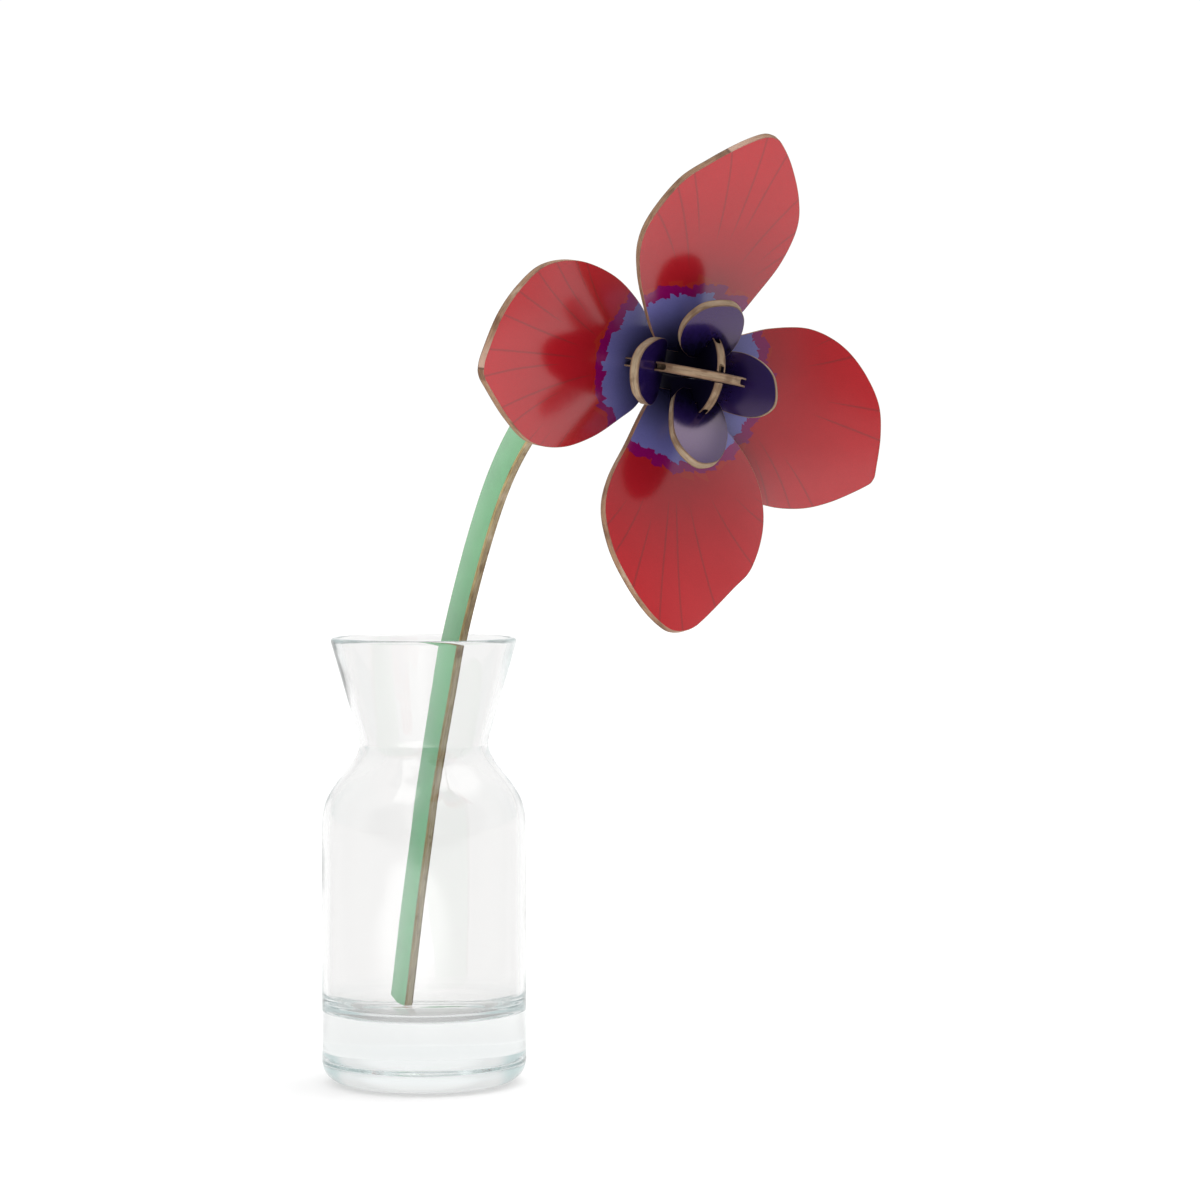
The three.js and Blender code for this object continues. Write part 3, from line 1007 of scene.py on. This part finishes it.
def make_stem(finishes):
    thickness = bpy.context.scene.anemone_board.thickness / MM
    gap = thickness / 2 + SLOT_CLEARANCE
    upper, lower = stem_strip()
    rib = rib_outline(STEM_RIB_HALF)
    # the strip's first points lie inside the rib, which takes their place
    inside = sum(1 for x, _ in upper if x > RIB_BACK)
    outline = rib + upper[inside:] + lower[:inside - 1:-1]
    cutters = [
        cutting_box((-thickness, -gap, RIB_LAP), (thickness, gap, REACH)),
        fork_cutter("top", STEM_RIB_HALF, 0.0, gap - FORK_OVERLAP, gap + STEM_FORK),
    ]
    sides = ("top", "bottom")
    obj = make_rib("stem", sides, STEM_RIB_HALF, outline, rib_matrix(), cutters, STEM_FORK)
    edit(obj)
    bpy.ops.mesh.select_all(action="SELECT")
    slant = Matrix.Rotation(math.radians(STEM_FOOT_CUT), 3, "X")
    normal = Matrix.Rotation(math.radians(HEAD_TURN), 3, "Z") @ slant @ Vector((0, 0, 1))
    bpy.ops.mesh.bisect(
        plane_co=Vector(STEM_FOOT_TIP) * MM, plane_no=normal, use_fill=True, clear_inner=True
    )
    leave_edit()
    tidy_mesh(obj)
    paint_board(obj, head_matrix() @ rib_matrix(), *finishes)
    hand_over(obj, "stem")


def make_cross_rib(finishes):
    thickness = bpy.context.scene.anemone_board.thickness / MM
    gap = thickness / 2 + SLOT_CLEARANCE
    place = Matrix.Rotation(math.radians(90), 4, "Z") @ rib_matrix()
    lap_end = RIB_LAP + SLOT_CLEARANCE
    cutters = [cutting_box((-gap, -thickness, -REACH), (gap, thickness, lap_end))]
    for side, angle, low, high in LONG_FORKS:
        cutters.append(fork_cutter(side, CROSS_RIB_HALF, math.radians(angle), low, high))
    outline = rib_outline(CROSS_RIB_HALF)
    sides = ("left", "right")
    obj = make_rib("cross_rib", sides, CROSS_RIB_HALF, outline, place, cutters, CROSS_FORK)
    tidy_mesh(obj)
    paint_board(obj, head_matrix() @ place, *finishes)
    hand_over(obj, "cross_rib")


# ---- Carafe ---------------------------------------------------------------------------------


def carafe_profile(height):
    """Radius and height of each ring, from the middle of the underside to that of the floor."""
    corner_radius = BODY_RADIUS - WALL - FLOOR_RADIUS
    corner_centre = (FLOOR_RADIUS, FLOOR_HEIGHT + corner_radius)
    lip = WALL / 2
    knots = [Vector(knot) for knot in SHOULDER_OUTLINE]
    foot = [*PUNT, (FOOT_RADIUS - FOOT_EASE, 0)]
    heel = arc((FOOT_RADIUS, FOOT_CORNER), FOOT_CORNER, HEEL_START, 0, HEEL_STEPS)
    shoulder = [tuple(spline_point(knots, i / SHOULDER_STEPS)) for i in range(SHOULDER_STEPS + 1)]
    rim = arc((RIM_RADIUS - lip, height - lip), lip, *LIP_TURN, LIP_STEPS)
    inside = [(radius - WALL, level) for radius, level in reversed(shoulder)]
    corner = arc(corner_centre, corner_radius, 0, -90, CORNER_STEPS)
    floor = [(radius, FLOOR_HEIGHT) for radius in FLOOR_RINGS]
    return foot + heel + shoulder + rim + inside + corner + floor


def make_carafe():
    settings = bpy.context.scene.anemone_carafe
    rings = carafe_profile(settings.height / MM)
    radius, level = rings[0]
    bpy.ops.object.select_all(action="DESELECT")
    bpy.ops.mesh.primitive_circle_add(
        vertices=CARAFE_SIDES, radius=radius * MM, location=(0, 0, level * MM), fill_type="TRIFAN"
    )
    obj = bpy.context.object
    bpy.ops.object.transform_apply(location=True, rotation=True, scale=True)
    edit(obj, "EDGE")
    bpy.ops.mesh.select_all(action="DESELECT")
    leave_edit()
    for edge in obj.data.edges:
        edge.select = all(obj.data.vertices[i].co.xy.length > radius * MM / 2 for i in edge.vertices)
    edit(obj, "EDGE")
    for next_radius, next_level in rings[1:]:
        rise = (next_level - level) * MM
        bpy.ops.mesh.extrude_region_move(TRANSFORM_OT_translate={"value": (0, 0, rise)})
        grow = next_radius / radius
        bpy.ops.transform.resize(value=(grow, grow, 1), center_override=(0, 0, 0))
        radius, level = next_radius, next_level
    bpy.ops.mesh.extrude_region_move(TRANSFORM_OT_translate={"value": (0, 0, 0)})
    bpy.ops.mesh.merge(type="CENTER")
    leave_edit()
    tidy_mesh(obj)
    take_up(obj)
    bpy.ops.object.shade_smooth_by_angle(angle=math.radians(GLASS_SMOOTHING))
    obj.data.materials.clear()
    obj.data.materials.append(clear_glass("carafe_glass", settings))
    hand_over(obj, "vase")


# ---- Operators ------------------------------------------------------------------------------


class ANEMONE_OT_petals(bpy.types.Operator):
    """Cuts, prints and seats the four outer petals"""

    bl_idname = "anemone.petals"
    bl_label = "Outer petals"

    def execute(self, context):
        colours, board = context.scene.anemone_colours, context.scene.anemone_board
        edge = cut_edge("petal_edge", colours, board.thickness, scorch=0.8, tab=1.0)
        for count, side in enumerate(PETAL_TURNS):
            node, layout = f"petal_{side}", OUTER[side]
            seed = FIRST_SEED + SEED_STEP * count
            face = petal_print(f"{node}_face", colours, board.roughness, layout["ring"], seed)
            finishes = (face, face, edge)
            make_petal(node, side, OUTER_OUTLINES[side], layout, finishes)
        return {"FINISHED"}


class ANEMONE_OT_inner_petals(bpy.types.Operator):
    """Cuts, prints and seats the four small petals round the middle"""

    bl_idname = "anemone.inner_petals"
    bl_label = "Inner petals"

    def execute(self, context):
        colours, board = context.scene.anemone_colours, context.scene.anemone_board
        edge = cut_edge("inner_petal_edge", colours, board.thickness, scorch=0.0)
        face = centre_print("inner_petal_face", colours, board.roughness)
        finishes = (face, face, edge)
        for side in PETAL_TURNS:
            node, layout = f"inner_petal_{side}", INNER[side]
            make_petal(node, side, INNER_OUTLINES[side], layout, finishes)
        return {"FINISHED"}


class ANEMONE_OT_ribs(bpy.types.Operator):
    """Cuts the stem with its rib, and the rib that crosses it"""

    bl_idname = "anemone.ribs"
    bl_label = "Stem and ribs"

    def execute(self, context):
        colours, board = context.scene.anemone_colours, context.scene.anemone_board
        edge = cut_edge("rib_edge", colours, board.thickness, scorch=0.2)
        stem_edge = cut_edge("stem_edge", colours, board.thickness, scorch=0.2, golden=0.85)
        dark = rib_print("rib_face", board.roughness)
        green = stem_print("stem_face", colours, board.roughness + STEM_MATTER)
        make_cross_rib((dark, dark, edge))
        make_stem((green, green, stem_edge))
        return {"FINISHED"}


class ANEMONE_OT_carafe(bpy.types.Operator):
    """Draws the glass carafe up from its foot, ring by ring"""

    bl_idname = "anemone.carafe"
    bl_label = "Carafe"

    def execute(self, context):
        make_carafe()
        return {"FINISHED"}


def pale_floor():
    """A white table that glows a little, so that it shows no shadow, with a lit patch in front."""
    finish = Finish("floor_paper")
    x, y, _ = finish.parts(finish.place())
    offset = finish.vector(x - PATCH_CENTRE[0], y - PATCH_CENTRE[1])
    patch = finish.length(offset).fall(*PATCH_EDGE)
    path = finish.node("ShaderNodeLightPath")
    mirrored = Value(finish, path.outputs["Is Glossy Ray"])
    through_glass = Value(finish, path.outputs["Is Transmission Ray"])
    far_in_front = y.fall(*FAR_IN_FRONT)
    aside = (x.size() / y.larger(20.0)).rise(0.8, 1.6)
    # painted shade: the table is dimmer where it is seen in mirrored light far in front, and dimmer
    # still where it is seen through the glass, more so to the sides
    kept = 1.0 - mirrored * far_in_front * 0.45 - through_glass * (0.19 + aside * 0.18)
    glow = (patch * 0.75 + 0.25) * kept
    paper = kept * 0.5
    finish.surface(
        Base_Color=finish.vector(paper, paper, paper),
        Roughness=1.0,
        Specular_IOR_Level=0.0,
        Emission_Color=finish.vector(glow, glow, glow),
        Emission_Strength=2.0,
    )
    return finish.material


def soft_box(name, place, target, size, power):
    """A square lamp that faces its target."""
    place, target = Vector(place) * MM, Vector(target) * MM
    bpy.ops.object.light_add(type="AREA", location=place)
    lamp = bpy.context.object
    lamp.name = name
    lamp.data.shape = "SQUARE"
    lamp.data.size = size * MM
    lamp.data.energy = power
    lamp.rotation_euler = (target - place).to_track_quat("-Z", "Y").to_euler()


def light_studio(scene):
    """White walls behind and beside the flower, and a dark room round the photographer."""
    world = bpy.data.worlds.new("studio")
    scene.world = world
    tree = Tree(world)
    x, y, z = tree.parts(tree.node("ShaderNodeTexCoord").outputs["Generated"])

    def toward(direction):
        """About 1 where a ray points in that direction, and less the further away it points."""
        return x * direction[0] + y * direction[1] + z * direction[2]

    walls = y.rise(-0.95, -0.35) * 0.38 + 0.66
    walls = walls - toward(DIM_CORNER).rise(0.80, 0.93) * 0.47
    walls = walls * (1.0 - toward(BESIDE_CAMERA).rise(0.72, 0.93) * 0.8)
    strength = walls + z.rise(0.2, 0.9) * 0.3 + toward(OVERHEAD).rise(0.88, 0.95) * 1.7

    path = tree.node("ShaderNodeLightPath")
    through_glass = Value(tree, path.outputs["Is Transmission Ray"])
    aside = x.size().rise(0.55, 0.80)
    straight_on = y.rise(0.86, 0.96)
    veiled = strength.smaller(VEILED_BRIGHT).larger(VEILED_DARK)
    veiled = veiled - aside * 0.20 + straight_on * 0.12
    strength = strength + (veiled - strength) * through_glass
    red = 1.0 - through_glass * veiled.fall(VEILED_TINGED, VEILED_BRIGHT) * 0.17
    colour = tree.vector(red, 1.0, 1.0)
    background = tree.node("ShaderNodeBackground", None, {"Color": colour, "Strength": strength})
    output = tree.node("ShaderNodeOutputWorld")
    tree.link(background.outputs[0], output.inputs["Surface"])


class ANEMONE_OT_stage(bpy.types.Operator):
    """Lays a plain floor, hangs soft light and sets up the camera"""

    bl_idname = "anemone.stage"
    bl_label = "Stage"

    def execute(self, context):
        scene = context.scene
        bpy.ops.object.select_all(action="DESELECT")
        bpy.ops.mesh.primitive_circle_add(
            vertices=TABLE_SIDES, radius=TABLE_RADIUS * MM, location=(0, 0, -TABLE_DROP * MM),
            fill_type="NGON",
        )
        floor = context.object
        floor.name = "floor"
        floor.data.materials.append(pale_floor())

        light_studio(scene)
        soft_box("window", WINDOW_PLACE, WINDOW_TARGET, WINDOW_SIZE, WINDOW_POWER)

        scene.view_settings.view_transform = "Standard"
        for kind in ("max_bounces", "transmission_bounces", "glossy_bounces"):
            setattr(scene.cycles, kind, LIGHT_BOUNCES)
        bpy.ops.object.camera_add(
            location=Vector(CAMERA_PLACE) * MM, rotation=(math.radians(90 - CAMERA_DOWN), 0, 0)
        )
        camera = context.object
        camera.data.sensor_width = CAMERA_SENSOR
        camera.data.lens = CAMERA_LENS
        camera.data.clip_start, camera.data.clip_end = [limit * MM for limit in CAMERA_CLIP]
        scene.camera = camera
        return {"FINISHED"}


class ANEMONE_PT_panel(bpy.types.Panel):
    """Lists the steps of the model"""

    bl_label = "Slotted anemone"
    bl_idname = "ANEMONE_PT_panel"
    bl_space_type = "VIEW_3D"
    bl_region_type = "UI"
    bl_category = "Anemone"

    def draw(self, context):
        scene = context.scene
        for settings in (scene.anemone_board, scene.anemone_colours, scene.anemone_carafe):
            box = self.layout.box()
            for name in settings.__annotations__:
                box.prop(settings, name)
        for operator in STEPS:
            self.layout.operator(operator.bl_idname)


SETTINGS = (BoardSettings, ColourSettings, CarafeSettings)
STEPS = (
    ANEMONE_OT_petals, ANEMONE_OT_inner_petals, ANEMONE_OT_ribs, ANEMONE_OT_carafe,
    ANEMONE_OT_stage,
)


def register():
    for entry in (*SETTINGS, *STEPS, ANEMONE_PT_panel):
        bpy.utils.register_class(entry)
    bpy.types.Scene.anemone_board = bpy.props.PointerProperty(type=BoardSettings)
    bpy.types.Scene.anemone_colours = bpy.props.PointerProperty(type=ColourSettings)
    bpy.types.Scene.anemone_carafe = bpy.props.PointerProperty(type=CarafeSettings)


def unregister():
    del bpy.types.Scene.anemone_carafe
    del bpy.types.Scene.anemone_colours
    del bpy.types.Scene.anemone_board
    for entry in reversed((*SETTINGS, *STEPS, ANEMONE_PT_panel)):
        bpy.utils.unregister_class(entry)


def main():
    register()
    bpy.ops.anemone.petals()
    bpy.ops.anemone.inner_petals()
    bpy.ops.anemone.ribs()
    bpy.ops.anemone.carafe()
    bpy.ops.anemone.stage()


if __name__ == "__main__":
    main()
